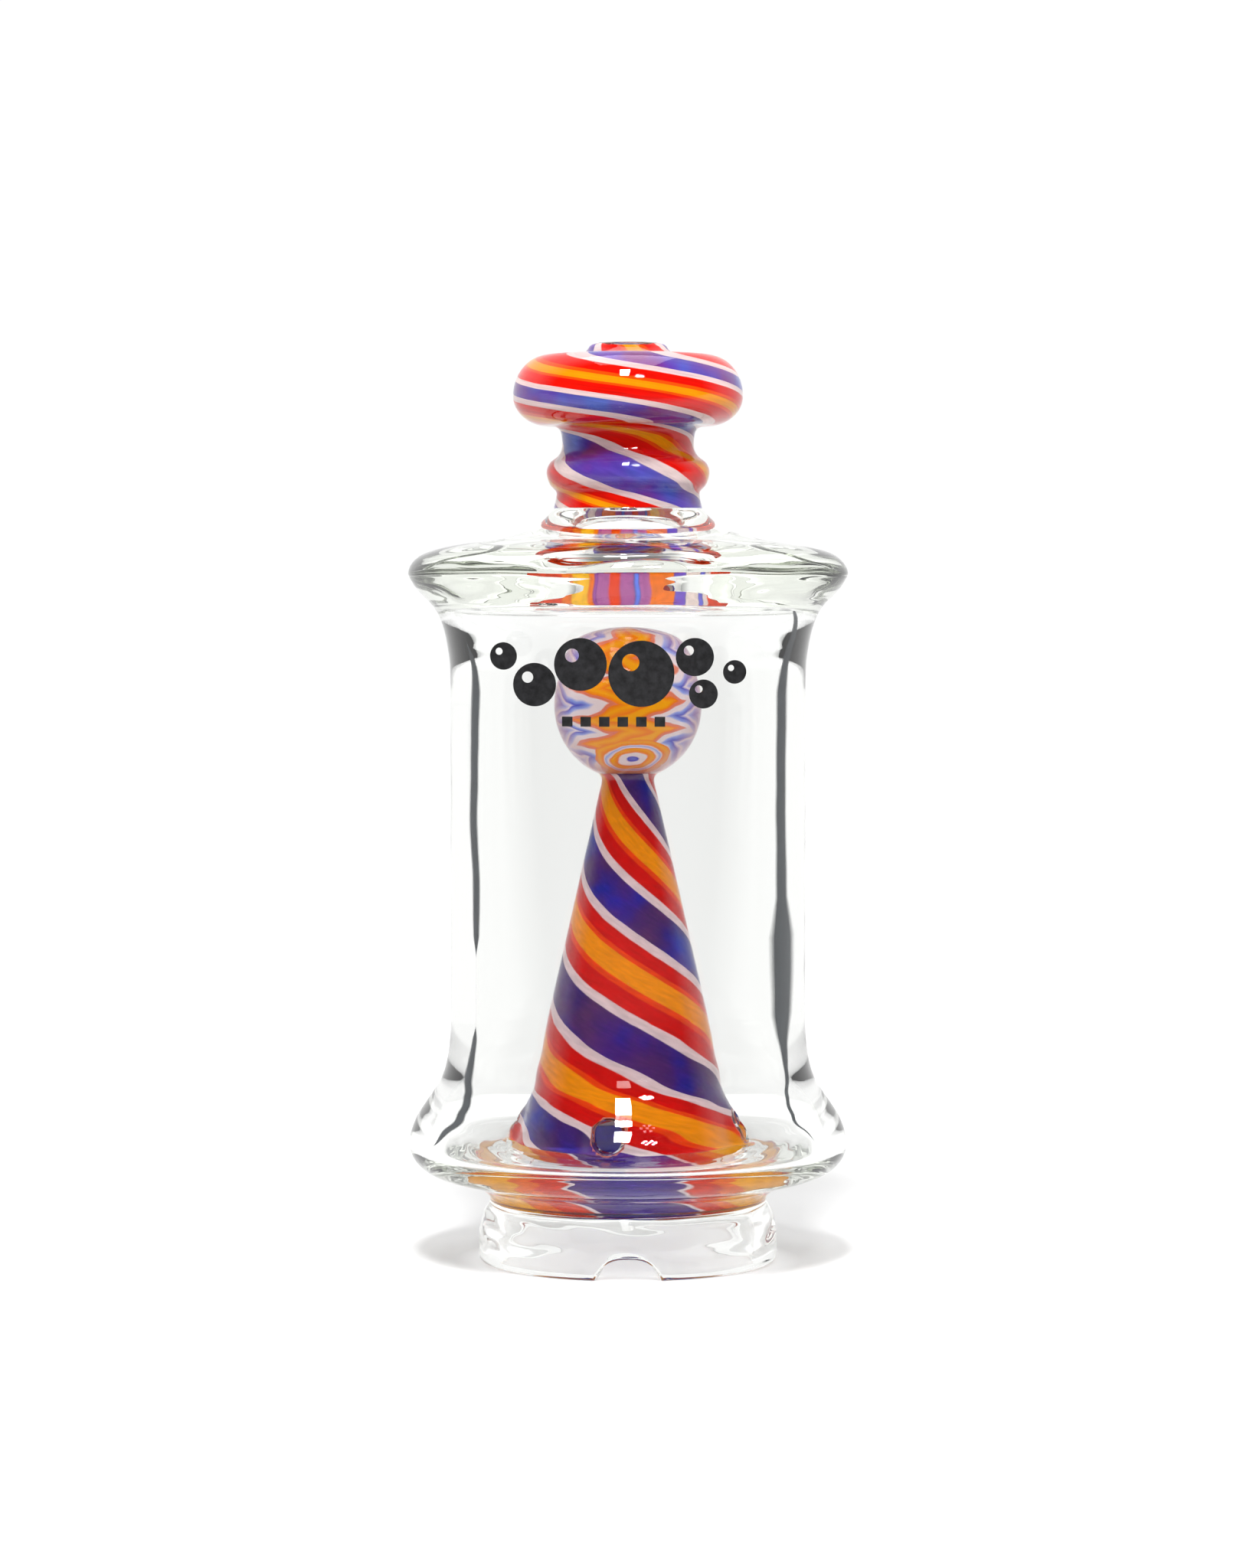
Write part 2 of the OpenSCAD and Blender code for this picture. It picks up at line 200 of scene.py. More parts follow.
def passage():
    """From the mouth down through the hollow bulb and the neck to the can's flat ceiling."""
    return join(
        smooth([(3.6, MOUTH_Z), (MOUTH_R, 143.8), (MOUTH_R, 141.6), (4.2, 140.4), (7, 139.9),
                (11, 139.8)], 4),
        arc(BULB_CORE_R - 0.6, BULB_Z, 3.0, 3.6, 80, -80, 14),
        smooth([(11, 132.6), (9.4, 131.6), (7.6, 130), (7.6, 128.4), (7.9, 126), (8.3, 123), (8.8, 120.2),
                (9, NECK_Z), (9, 116.5), (9.4, 114), (9.8, 111.5), (9.8, 108), (9.9, 106.3), (10.5, 105),
                (12, 104.3), (14, CEILING_Z), (22, CEILING_Z)]),
    )


def upper_flare():
    """From the rim of the ceiling down to the top of the can's straight inside wall."""
    return smooth([(22, CEILING_Z + 0.02), (27, CEILING_Z), (27.6, 103.9), (27.7, 103.5), (27.3, 102.4),
                   (26.3, 100), (25.1, 97), (24.2, 94), (BORE_R, WALL_Z[1])])


def lower_flare():
    """From the foot of the can's straight inside wall out to the floor."""
    return smooth([(BORE_R, WALL_Z[0]), (24.1, 36.6), (24.7, 33.6), (25.6, 30.6), (27.2, 27.6), (29.2, 24.4),
                   (30.6, 21.6), (31.1, 19.4), (30.9, 18), (29.8, 17.3), (28.6, FLOOR_Z)])


def chamber():
    """The can's inside, from its ceiling down its wall and over its floor to the foot of the cone."""
    return join(
        upper_flare(),
        split_line((BORE_R, WALL_Z[1]), (BORE_R, WALL_Z[0]), 24),
        lower_flare(),
        split_line((28.6, FLOOR_Z), (19.6, FLOOR_Z), 26),
        smooth([(19.6, FLOOR_Z), (18.1, 17.5), (17.55, 18.1)]),
    )


def cone_outside():
    low = 18.6
    return split_line((cone_r(low), low), (cone_r(CONE_TIP), CONE_TIP), 90)


def ball_outside():
    """From the collar up over the ball to its top."""
    return join(
        smooth([(cone_r(CONE_TIP), CONE_TIP), (4.15, 75.6), (4.25, 76.4), (4.7, 76.95)], 4),
        arc(0, BALL_Z, BALL_R, BALL_R, -64, 90, 40),
    )


def bore_r(z):
    """Inside radius of the cone and its skirt."""
    return cone_r(z) - CONE_WALL


def cone_inside():
    """The cone's and the skirt's inside, from the foot up to a closed top."""
    return join(
        split_line((bore_r(SKIRT_Z), SKIRT_Z + 1), (bore_r(FLOOR_Z), FLOOR_Z), 8),
        split_line((bore_r(FLOOR_Z), FLOOR_Z), (bore_r(70), 70), 84),
        smooth([(bore_r(70), 70), (bore_r(73.4), 73.4), (1.2, 74.6), (0, 75)], 4),
    )


def foot_inside():
    """From the foot's rim up to the cone's skirt."""
    return join(
        arc(20.9, 0.9, 0.9, 0.9, -90, -180, 6),
        smooth([(20, 2), (20, 5), (19.7, 7.2), (18.6, 8.8), (16.9, 9.7), (15.9, 10.3),
                (bore_r(SKIRT_Z), SKIRT_Z + 1)]),
    )


# ---- the stripes' turn round the axis, in half turns from the front


CONE_PITCH = 42.0
CONE_BLUE_TURN = -89.0
CONE_BLUE_Z = 67.0
SKIRT_TURN = 4.0
SKIRT_TWIST = 2.5
# Heights up the neck and over the bulb, each with its turn in degrees
MOUTH_TURNS = [(117, 100), (118.9, 69), (119.8, 52), (121.3, 24), (123.3, -3), (125.5, -26), (127.2, -47),
               (128.4, -56), (129.6, -71), (131, -108), (133.5, -180), (141.3, -360), (142.4, -380)]


def cone_turn(r, z):
    return (CONE_BLUE_TURN - 360 * (z - CONE_BLUE_Z) / CONE_PITCH) / 180


def skirt_turn(r, z):
    return (SKIRT_TURN - SKIRT_TWIST * (z - (SKIRT_Z + FLOOR_Z) / 2)) / 180


def mouth_turn(r, z):
    low = MOUTH_TURNS[0]
    turn = MOUTH_TURNS[-1][1]
    for high in MOUTH_TURNS[1:]:
        if z <= high[0]:
            turn = low[1] + (high[1] - low[1]) * (z - low[0]) / (high[0] - low[0])
            break
        low = high
    if z > 141.8 and r < BULB_CORE_R:  # the whirl on the bulb's top
        turn -= 9 * (BULB_CORE_R - r)
    return turn / 180


def mouth_spread(r, z):
    """Below 0 the blue canes are spread wider and the yellow ones squeezed, as on the neck."""
    return -0.38 * ease((131 - z) / 5)


# ---- what the flame did to the lathe's lines


# How far the glass stands out round a percolator hole: height and reach
HOLE_SWELL = [(16.2, 0.0), (17.3, 1.2), (18.4, 1.95), (20.0, 1.6), (22.0, 1.1), (24.0, 0.55), (26.2, 0.0)]
SWELL_W = 3.5
CONE_REACH = 19.2
DOME_R = 13
DOME_Z = 116
FOOT_MID_R = 21.4
FOOT_IN_R = 18.2
FOOT_TOP = 9.6


def ease(u):
    """0 to 1 with a soft start and end."""
    u = min(max(u, 0.0), 1.0)
    return u * u * (3 - 2 * u)


def swell_at(z):
    for (z0, a), (z1, b) in zip(HOLE_SWELL, HOLE_SWELL[1:]):
        if z0 <= z < z1:
            return a + (b - a) * (z - z0) / (z1 - z0)
    return 0.0


def swell_holes(r, z, turn):
    """Lips that stand out round the percolator holes."""
    if r < CONE_REACH and HOLE_SWELL[0][0] < z < HOLE_SWELL[-1][0]:
        for i in range(HOLES):
            gap = (turn - HOLE_TURN - i * 360 / HOLES + 180) % 360 - 180
            across = math.radians(gap) * r / SWELL_W
            r += swell_at(z) * math.exp(-abs(across) ** 3)
    return r


def wave_dome(r, z, angle):
    """Slow waves over the upper flange and the shoulder."""
    if CEILING_Z - 0.5 < z < DOME_Z and r > DOME_R:
        soft = ease((r - DOME_R) / 6) * ease((DOME_Z - z) / 2)
        r += soft * (0.06 * math.sin(7 * angle + 0.8 * z) + 0.04 * math.sin(12 * angle - 1.3 * z))
        z += soft * (0.05 * math.sin(5 * angle + 0.35 * r) + 0.035 * math.sin(10 * angle - 0.6 * r))
    return r, z


def ripple_floor(r, z, angle):
    """Rings pressed into the can's floor."""
    if abs(z - FLOOR_Z) < 0.15 and 19 < r < 29:
        z += 0.03 * math.sin(2.6 * r + 1.2 * math.sin(2 * angle)) * min(r - 19, 29 - r, 2) / 2
    return z


def wave_foot(r, z, angle):
    """A wavy foot, inside and outside."""
    if z < FOOT_TOP and r > FOOT_IN_R:
        soft = ease(z / 2.5) * ease((FOOT_TOP - z) / 2)
        side = 1 if r > FOOT_MID_R else -1
        r += soft * (0.07 * math.sin(4 * angle + 0.8 * z * side)
                     + 0.035 * math.sin(7 * angle - 1.6 * z + side)
                     + 0.015 * math.sin(11 * angle + 2.3 * z))
    return r


def melt_notch(r, z, angle):
    """The foot's rim lifted in an arch at the front, with lips beside it."""
    if z < NOTCH_REACH and r > FOOT_IN_R and math.cos(angle) > 0.9:
        reach = abs(math.sin(angle)) * FOOT_R
        arch = max(0.0, 1 - (reach / (NOTCH_W / 2 + 0.6)) ** 2.6)
        lift = NOTCH_H * arch ** 0.55
        z = lift + z * (NOTCH_REACH - lift) / NOTCH_REACH
        lip = math.exp(-((reach - NOTCH_W / 2 - 0.9) / 1.1) ** 2) * ease(1 - z / 5)
        r += (0.35 if r > FOOT_MID_R else -0.35) * lip * ease(z / 0.8)
    return r, z


def flame(r, z, turn):
    """Where the flame left a point of the lathe's line."""
    angle = math.radians(turn)
    r = swell_holes(r, z, turn)
    r, z = wave_dome(r, z, angle)
    z = ripple_floor(r, z, angle)
    r = wave_foot(r, z, angle)
    return melt_notch(r, z, angle)


# ---- meshes


def to_piece(name, bm):
    """The finished mesh as an object in the scene."""
    mesh = bpy.data.meshes.new(name)
    bm.to_mesh(mesh)
    bm.free()
    piece = bpy.data.objects.new(name, mesh)
    bpy.context.scene.collection.objects.link(piece)
    return piece


def shade(piece, smooth_faces):
    for face in piece.data.polygons:
        face.use_smooth = smooth_faces


def lathe(name, line, closed=False, segments=SEGMENTS, shape=None, marks=None):
    """A surface of revolution; a line that ends on the axis gets a pole there."""
    bm = bmesh.new()
    rings = []
    for r, z in line:
        if r < 1e-6:
            rings.append([bm.verts.new((0, 0, z * MM))])
            continue
        ring = []
        for k in range(segments):
            turn = 360 * k / segments
            radius, height = shape(r, z, turn) if shape else (r, z)
            a = math.radians(turn - 90)
            ring.append(bm.verts.new((radius * MM * math.cos(a), radius * MM * math.sin(a), height * MM)))
        rings.append(ring)
    pairs = list(zip(rings, rings[1:]))
    if closed:
        pairs.append((rings[-1], rings[0]))
    for low, high in pairs:
        for k in range(segments):
            n = (k + 1) % segments
            corners = [low[k % len(low)], low[n % len(low)], high[n % len(high)], high[k % len(high)]]
            unique = list(dict.fromkeys(corners))
            if len(unique) > 2:
                bm.faces.new(unique)
    bmesh.ops.recalc_face_normals(bm, faces=bm.faces)
    piece = to_piece(name, bm)
    shade(piece, True)
    for mark, value_at in (marks or {}).items():
        values = piece.data.attributes.new(mark, "FLOAT", "POINT")
        index = 0
        for r, z in line:
            for _ in range(1 if r < 1e-6 else segments):
                values.data[index].value = value_at(r, z)
                index += 1
    return piece


def cut(piece, cutters):
    """Takes the cutters' volumes out of a piece."""
    for cutter in cutters:
        modifier = piece.modifiers.new("cut", "BOOLEAN")
        modifier.operation = "DIFFERENCE"
        modifier.solver = "EXACT"
        modifier.object = cutter
        bpy.context.view_layer.objects.active = piece
        with bpy.context.temp_override(object=piece, active_object=piece):
            bpy.ops.object.modifier_apply(modifier=modifier.name)
    for cutter in cutters:
        bpy.data.objects.remove(cutter)


def rod(name, start, end, radius_x, radius_z, n=40):
    """A closed rod with an oval section, used as a cutter."""
    start, end = Vector(start) * MM, Vector(end) * MM
    along = (end - start).normalized()
    side = along.cross(Vector((0, 0, 1))).normalized()
    up = side.cross(along)
    bm = bmesh.new()
    rings = []
    for u in (0, 0.25, 0.5, 0.75, 1):
        centre = start + (end - start) * u
        ring = []
        for k in range(n):
            a = 2 * math.pi * k / n
            ring.append(bm.verts.new(
                centre + side * radius_x * MM * math.cos(a) + up * radius_z * MM * math.sin(a)
            ))
        rings.append(ring)
    for low, high in zip(rings, rings[1:]):
        for k in range(n):
            bm.faces.new([low[k], low[(k + 1) % n], high[(k + 1) % n], high[k]])
    bm.faces.new(rings[0][::-1])
    bm.faces.new(rings[-1])
    bmesh.ops.recalc_face_normals(bm, faces=bm.faces)
    return to_piece(name, bm)


def hole_cutters(grow=0.0):
    """One rod through the cone's wall for each percolator hole."""
    out = []
    for i in range(HOLES):
        a = math.radians(HOLE_TURN + i * 360 / HOLES - 90)
        ends = [(r * math.cos(a), r * math.sin(a), HOLE_Z) for r in HOLE_REACH]
        out.append(rod("cutter", *ends, HOLE_R + grow, HOLE_R + 0.35 + grow))
    return out


# ---- materials


def srgb(r, g, b):
    """A colour in linear light from 0 to 255 display values."""
    return tuple(
        v / 255 / 12.92 if v <= 10.3 else ((v / 255 + 0.055) / 1.055) ** 2.4 for v in (r, g, b)
    ) + (1.0,)


def grey(value):
    return (value, value, value, 1)


class Shader:
    """A short way to write a node tree, for a material or for the world."""

    def __init__(self, owner, output="ShaderNodeOutputMaterial"):
        self.owner = owner
        owner.use_nodes = True
        self.tree = owner.node_tree
        self.tree.nodes.clear()
        self.out = self.tree.nodes.new(output)

    def node(self, kind, inputs=None, **settings):
        made = self.tree.nodes.new(kind)
        for key, value in settings.items():
            setattr(made, key, value)
        for key, value in (inputs or {}).items():
            self.put(made.inputs[key], value)
        return made

    def put(self, socket, value):
        if isinstance(value, bpy.types.Node):
            self.tree.links.new(value.outputs[0], socket)
        elif isinstance(value, bpy.types.NodeSocket):
            self.tree.links.new(value, socket)
        else:
            socket.default_value = value

    def math(self, operation, *values, clamp=False):
        made = self.node("ShaderNodeMath", dict(enumerate(values)), operation=operation, use_clamp=clamp)
        return made.outputs[0]

    def ramp(self, factor, stops):
        made = self.node("ShaderNodeValToRGB", {0: factor})
        bands = made.color_ramp.elements
        while len(bands) < len(stops):
            bands.new(0.5)
        for band, (place, colour) in zip(bands, stops):
            band.position = place
            band.color = colour
        return made.outputs[0]

    def noise(self, vector, scale, detail=2.0, rough=0.5):
        made = self.node("ShaderNodeTexNoise", {"Vector": vector, "Scale": scale, "Detail": detail,
                                                "Roughness": rough})
        return made.outputs[0]

    def blend(self, factor, a, b, mode="MIX"):
        made = self.node("ShaderNodeMix", data_type="RGBA", blend_type=mode)
        self.put(made.inputs[0], factor)
        self.put(made.inputs[6], a)
        self.put(made.inputs[7], b)
        return made.outputs[2]

    def uneven(self, vector, scale, detail, rough, height):
        """Noise that goes to both sides of zero."""
        noise = self.noise(vector, scale, detail, rough)
        return self.math("MULTIPLY", self.math("SUBTRACT", noise, 0.5), height)

    def from_axis(self, x, y):
        """The distance from the upright axis."""
        return self.math("SQRT", self.math("ADD", self.math("MULTIPLY", x, x), self.math("MULTIPLY", y, y)))

    def turn_of(self, x, y):
        """The angle round the axis in half turns, 0 at the front."""
        return self.math("DIVIDE", self.math("ARCTAN2", x, self.math("MULTIPLY", y, -1.0)), math.pi)

    def mirrored(self):
        """1 for what is seen in the glass as in a mirror, 0 for all that lights a dull surface."""
        path = self.node("ShaderNodeLightPath").outputs
        scattered = self.math("MULTIPLY", path["Diffuse Depth"], 100.0)
        return self.math("SUBTRACT", path["Glossy Depth"], scattered, clamp=True)

    def place(self):
        """Object coordinates and their three parts."""
        at = self.node("ShaderNodeTexCoord").outputs["Object"]
        parts = self.node("ShaderNodeSeparateXYZ", {0: at})
        return at, parts.outputs[0], parts.outputs[1], parts.outputs[2]

    def finish(self, surface, volume=None):
        self.put(self.out.inputs["Surface"], surface)
        if volume:
            self.put(self.out.inputs["Volume"], volume)
        return self.owner


def paint(name):
    """A new material, ready for its nodes."""
    return Shader(bpy.data.materials.new(name))


BLACK = grey(0)
WHITE = grey(1)
IOR = 1.47
GLASS_TINT = (0.978, 0.981, 0.978, 1)
GLASS_WAVE = 0.06 * MM
THICK_TINT = (0.82, 0.87, 0.74, 1)
# painted shade: the facing at which the inside wall is painted dark
LINE_FACING = 0.276  # how far from square-on the wall goes dark
LINE_SPAN = 120
# How broad the painted dark lines of the can's wall look on each side: height and width, about in millimetres
LEFT_LINE = [(0, 0), (19, 0), (22, 0.9), (30, 1.0), (36, 0.6), (38, 0), (49, 0), (52, 0.7), (60, 0.9),
             (75, 1.0), (90, 1.1), (95, 0.6), (98, 0), (120, 0)]
RIGHT_LINE = [(0, 0), (20, 0), (24, 0.4), (31, 0.5), (35, 1.1), (40, 2.6), (52, 2.8), (58, 1.4), (75, 1.2),
              (90, 1.2), (97, 0.7), (103, 0.4), (104, 0), (120, 0)]


def painted_wall_lines(s, at, x, y, z):
    """Where the can's inside wall is seen edge-on it is painted dark, as a heavy tube looks there in a bright
    studio.
    """
    outward = s.node("ShaderNodeVectorMath", {0: s.node("ShaderNodeCombineXYZ", {0: x, 1: y})},
                     operation="NORMALIZE").outputs[0]
    facing = s.node("ShaderNodeLayerWeight", {"Blend": 0.5, "Normal": outward}).outputs["Facing"]
    wavy = s.math("ADD", facing, s.uneven(at, 34.0, 2.0, 0.5, 0.06))
    off = s.math("ABSOLUTE", s.math("SUBTRACT", wavy, LINE_FACING))
    height = s.math("DIVIDE", z, LINE_SPAN * MM)
    left, right = (s.ramp(height, [(h / LINE_SPAN, grey(w / 2)) for h, w in line])
                   for line in (LEFT_LINE, RIGHT_LINE))
    width = s.blend(s.math("GREATER_THAN", x, 0.0), left, right)
    reach = s.math("MULTIPLY_ADD", width, 0.034, 0.0001)
    # painted shade: how strongly the edge-on inside wall is painted dark grey
    edge_on = s.math("MULTIPLY_ADD", s.math("DIVIDE", off, reach), -2.0, 2.4, clamp=True)
    inside = s.node("ShaderNodeNewGeometry").outputs["Backfacing"]
    wall = s.node("ShaderNodeAttribute", attribute_name="inner_wall").outputs["Fac"]
    return s.math("MULTIPLY", s.math("MULTIPLY", edge_on, wall), inside)


def clear_glass(name):
    """Clear borosilicate: slow waves from the flame, a faint olive tint in thick places, and painted dark
    lines where the inside wall is seen edge-on.
    """
    s = paint(name)
    at, x, y, z = s.place()
    drawn = s.node("ShaderNodeCombineXYZ", {0: s.from_axis(x, y), 1: z, 2: s.math("MULTIPLY", x, 0.12)})
    ridges = s.math("MULTIPLY", s.noise(drawn, 330.0, 2.0, 0.5), 0.07)
    waves = s.math("ADD", s.noise(at, 55.0, 2.0, 0.4), ridges)
    bump = s.node("ShaderNodeBump", {"Strength": 1.0, "Distance": GLASS_WAVE, "Height": waves})
    glass = s.node("ShaderNodeBsdfPrincipled", {
        "Base Color": GLASS_TINT, "Roughness": 0.0, "IOR": IOR, "Transmission Weight": 1.0, "Normal": bump,
    })
    # painted shade: a dark grey surface mixed into the glass where the inside wall is seen edge-on
    dark = s.node("ShaderNodeBsdfDiffuse", {"Color": srgb(60, 64, 68)})
    surface = s.node("ShaderNodeMixShader", {0: painted_wall_lines(s, at, x, y, z), 1: glass, 2: dark})
    volume = s.node("ShaderNodeVolumeAbsorption", {"Color": THICK_TINT, "Density": 10.0})
    return s.finish(surface, volume)


# One repeat of each run of stripes, left to right: colour name and degrees; a repeat is half a turn
CONE_STRIPES = [("blue", 55.8), ("white", 14.4), ("red", 25.2), ("orange", 9), ("yellow", 32.4),
                ("orange", 7.2), ("red", 21.6), ("white", 14.4)]
SKIRT_STRIPES = [("blue", 48), ("white", 3), ("red", 13), ("orange", 10), ("yellow", 72), ("orange", 14),
                 ("red", 17), ("white", 3)]
MOUTH_STRIPES = [("blue", 42), ("white", 17), ("red", 33), ("orange", 8), ("yellow", 23), ("orange", 11),
                 ("red", 28), ("white", 18)]
ROOT_STRIPES = [("red", 44), ("orange", 8), ("yellow", 12), ("orange", 4), ("blue", 2), ("pink", 8),
                ("red", 7), ("pink", 9), ("blue", 3), ("pink", 7), ("orange", 17), ("blue", 9), ("white", 12),
                ("blue", 4), ("white", 5), ("red", 29)]


def stripe_stops(stripes, colours, soft=0.004):
    """Colour-ramp stops with a slightly soft edge between neighbours."""
    stops = []
    place = 0.0
    for name, degrees in stripes:
        stops.append((place + soft if place else 0.0, colours.get(name, BLACK)))
        place += degrees / 180
        stops.append((min(place - soft, 1.0), colours.get(name, BLACK)))
    return stops


CONE_COLOURS = {
    "white": srgb(240, 217, 220), "red": srgb(212, 8, 2),
    "orange": srgb(236, 68, 2), "yellow": srgb(242, 152, 2),
}
SKIRT_COLOURS = {
    "white": srgb(240, 222, 226), "red": srgb(214, 50, 16),
    "orange": srgb(236, 104, 10), "yellow": srgb(250, 172, 6),
}
MOUTH_COLOURS = {
    "white": srgb(246, 226, 222), "red": srgb(232, 14, 0),
    "orange": srgb(242, 84, 4), "yellow": srgb(250, 164, 4),
}
ROOT_COLOURS = {
    "white": srgb(246, 226, 222), "red": srgb(226, 64, 20),
    "orange": srgb(240, 118, 20), "yellow": srgb(250, 190, 30), "pink": srgb(176, 96, 160),
}

# The cobalt's clouds, from violet to clear blue
CONE_COBALT = [(0.34, srgb(146, 78, 144)), (0.52, srgb(120, 62, 160)), (0.72, srgb(44, 58, 222))]
SKIRT_COBALT = [(0.34, srgb(118, 66, 140)), (0.60, srgb(90, 56, 160))]
MOUTH_COBALT = [(0.34, srgb(168, 74, 150)), (0.48, srgb(124, 82, 200)), (0.68, srgb(100, 132, 240))]


def striped(name, stripes, colours, cobalt, see_through, tint, glow_through=0.22):
    """Canes of colour under the clear skin: opaque ones, and a transparent, cloudy cobalt blue.

    The mesh says by how much the run of stripes is turned at each point, and how far the blue is spread.
    """
    s = paint(name)
    at, x, y, z = s.place()
    turn = s.node("ShaderNodeAttribute", attribute_name="turn").outputs["Fac"]
    spread = s.node("ShaderNodeAttribute", attribute_name="spread").outputs["Fac"]
    wander = s.uneven(at, 160.0, 2.0, 0.55, 0.02)
    along = s.math("SUBTRACT", s.turn_of(x, y), turn)
    pushed = s.math("MULTIPLY", s.math("SINE", s.math("MULTIPLY", along, 2 * math.pi)), 1 / (2 * math.pi))
    along = s.math("ADD", along, s.math("MULTIPLY", pushed, spread))
    start = 8.0 + stripes[0][1] / 360  # the first stripe's middle is at turn 0
    phase = s.math("FRACT", s.math("ADD", s.math("ADD", along, wander), start))
    colour = s.ramp(phase, stripe_stops(stripes, colours))
    mask = s.ramp(phase, stripe_stops(stripes, {"blue": WHITE}))
    colour = s.blend(mask, colour, s.ramp(s.noise(at, 115.0, 2.0, 0.5), cobalt))
    drawn = s.node("ShaderNodeCombineXYZ",
                   {0: s.math("MULTIPLY", phase, 0.5), 1: s.math("MULTIPLY", z, 12.0)})
    streaks = s.ramp(s.noise(drawn, 60.0, 3.0, 0.6), [(0.3, grey(0.80)), (0.7, grey(1.06))])
    colour = s.blend(1.0, colour, streaks, "MULTIPLY")
    cloud = s.math("MULTIPLY", s.noise(at, 420.0, 3.0, 0.6), 0.004)
    colour = s.blend(cloud, colour, srgb(250, 232, 226))
    solid = s.node("ShaderNodeBsdfPrincipled", {
        "Base Color": colour, "Roughness": 0.55, "Specular IOR Level": 0.0,
    })
    back = s.node("ShaderNodeBsdfTranslucent", {"Color": colour})
    opal = s.node("ShaderNodeMixShader", {0: glow_through, 1: solid, 2: back})
    clear = s.node("ShaderNodeBsdfTransparent", {"Color": tint})
    glassy = s.math("MULTIPLY", mask, see_through)
    return s.finish(s.node("ShaderNodeMixShader", {0: glassy, 1: opal, 2: clear}))


def wigwag(name):
    """The ball's lining: flame-like chevrons of colour left and right, and a swirl low on the front."""
    s = paint(name)
    at, x, y, z = s.place()
    lift = s.math("MULTIPLY", s.noise(at, 110.0, 2.0, 0.5), 1.1)
    level = s.math("ADD", s.math("DIVIDE", z, 4.1 * MM), lift)
    zigzag = s.math("SUBTRACT", s.math("PINGPONG", level, 0.5), 0.25)
    reach = s.math("ADD", s.math("MULTIPLY", s.noise(at, 70.0, 1.0, 0.5), 0.7), 0.05)
    wander = s.uneven(at, 190.0, 2.0, 0.5, 0.12)
    across = s.math("ADD", s.math("ADD", s.turn_of(x, y), s.math("MULTIPLY", zigzag, reach)), wander)
    band = s.math("FRACT", s.math("ADD", across, 8.5))
    yellow, orange = srgb(252, 172, 8), srgb(246, 128, 20)
    salmon, white = srgb(232, 128, 98), srgb(240, 228, 232)
    pale, deep = srgb(150, 168, 236), srgb(78, 80, 200)
    chevrons = s.ramp(band, [
        (0.0, deep), (0.05, pale), (0.11, white), (0.14, deep), (0.20, pale), (0.235, white), (0.30, white),
        (0.315, salmon), (0.345, salmon), (0.36, orange), (0.42, yellow), (0.50, orange), (0.53, yellow),
        (0.60, yellow), (0.64, orange), (0.66, salmon), (0.69, salmon), (0.705, white), (0.77, white),
        (0.80, pale), (0.86, deep), (0.90, white), (0.94, pale), (1.0, deep),
    ])
    stretched = s.node("ShaderNodeVectorMath", {0: at, 1: (1, 1, 2.1)}, operation="MULTIPLY").outputs[0]
    swirl = s.node("ShaderNodeVectorMath", {0: stretched, 1: (0.9 * MM, -7.6 * MM, 2.1 * 79.7 * MM)},
                   operation="DISTANCE").outputs["Value"]
    ring = s.math("ADD", s.math("DIVIDE", swirl, 6.2 * MM), s.math("MULTIPLY", wander, 4.5))
    rings = s.ramp(ring, [
        (0.0, pale), (0.16, deep), (0.2, white), (0.34, white), (0.38, orange), (0.52, yellow),
        (0.56, orange), (0.60, white), (0.68, pale), (0.72, white), (0.76, orange), (0.9, yellow),
        (1.0, orange),
    ])
    colour = s.blend(s.math("LESS_THAN", ring, 1.0), chevrons, rings)
    bubbles = s.node("ShaderNodeTexVoronoi", {"Vector": at, "Scale": 300.0}).outputs["Distance"]
    spots = s.ramp(bubbles, [(0.0, WHITE), (0.07, WHITE), (0.11, BLACK)])
    colour = s.blend(s.math("MULTIPLY", spots, 0.5), colour, srgb(255, 240, 214))
    facing = s.node("ShaderNodeLayerWeight", {"Blend": 0.5}).outputs["Facing"]
    colour = s.blend(s.ramp(facing, [(0.18, BLACK), (0.32, grey(0.75))]), colour, srgb(196, 138, 134))
    low = s.math("MULTIPLY_ADD", z, -1 / (1.6 * MM), 79.2 / 1.6, clamp=True)
    colour = s.blend(s.math("MULTIPLY", low, 0.8), colour, srgb(196, 112, 84))
    return s.finish(s.node("ShaderNodeBsdfPrincipled", {
        "Base Color": colour, "Roughness": 0.4, "Specular IOR Level": 0.0,
    }))


def enamel(name):
    """Fired black print, a little grey where it is thin."""
    s = paint(name)
    thin = s.noise(s.place()[0], 900.0, 3.0, 0.6)
    colour = s.ramp(thin, [(0.3, srgb(14, 14, 15)), (0.75, srgb(34, 34, 36))])
    return s.finish(s.node("ShaderNodeBsdfPrincipled", {
        "Base Color": colour, "Roughness": 0.6, "Specular IOR Level": 0.15,
    }))


